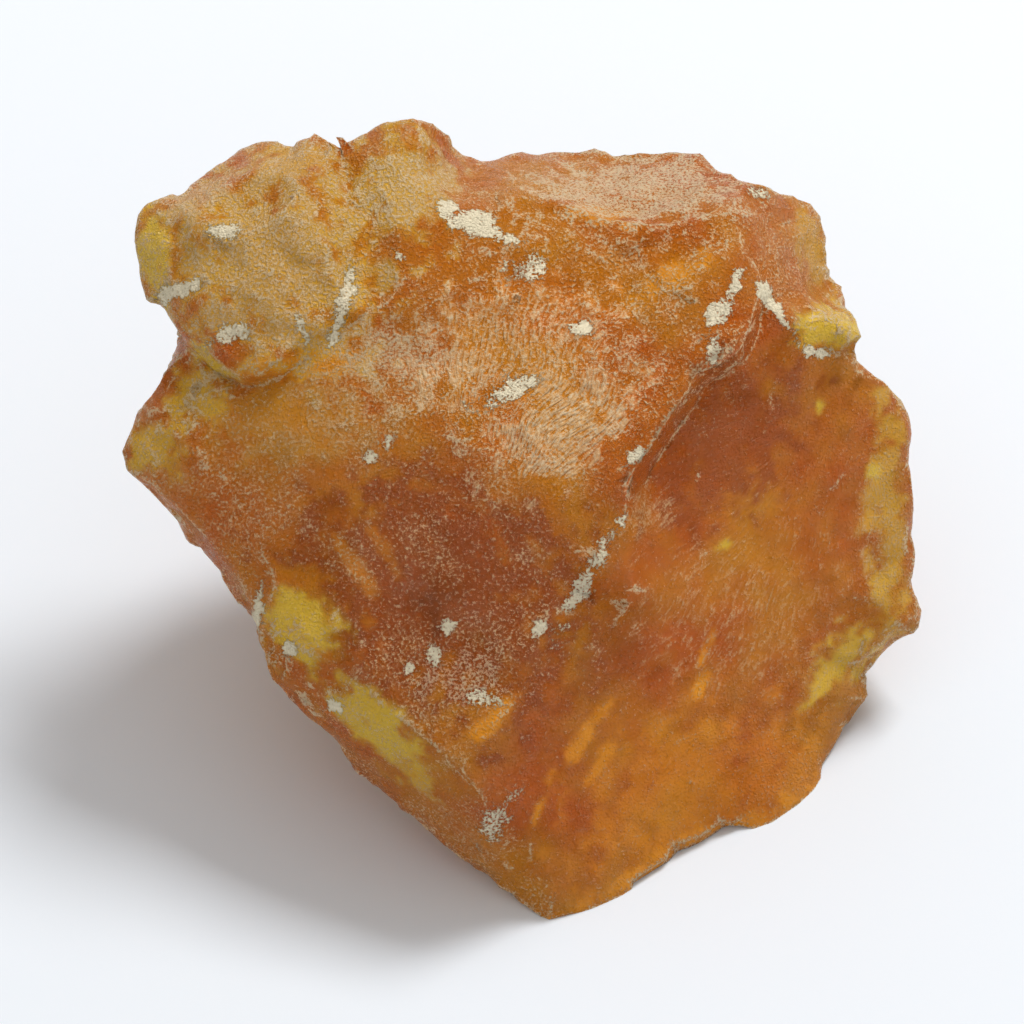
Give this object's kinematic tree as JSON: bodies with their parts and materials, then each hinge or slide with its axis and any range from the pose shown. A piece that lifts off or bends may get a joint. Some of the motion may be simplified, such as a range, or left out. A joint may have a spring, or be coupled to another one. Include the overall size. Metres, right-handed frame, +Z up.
{
  "type": "raw amber piece",
  "caption": "Rough lump of clear amber with broad break faces, a sharp middle ridge and a flat face that it rests on.",
  "frame": {"origin": "middle of the bounding box's base, on the rest plane", "axes": "+Z up, +X along the longest extent to the steep face's side, -Y towards the viewer"},
  "size_m": [0.0468, 0.0372, 0.0332],
  "materials": {
    "amber": "clear orange resin with a frosted, partly chalky break surface"
  },
  "bodies": {
    "root": {"amber_lump": "amber"}
  },
  "joints": []
}
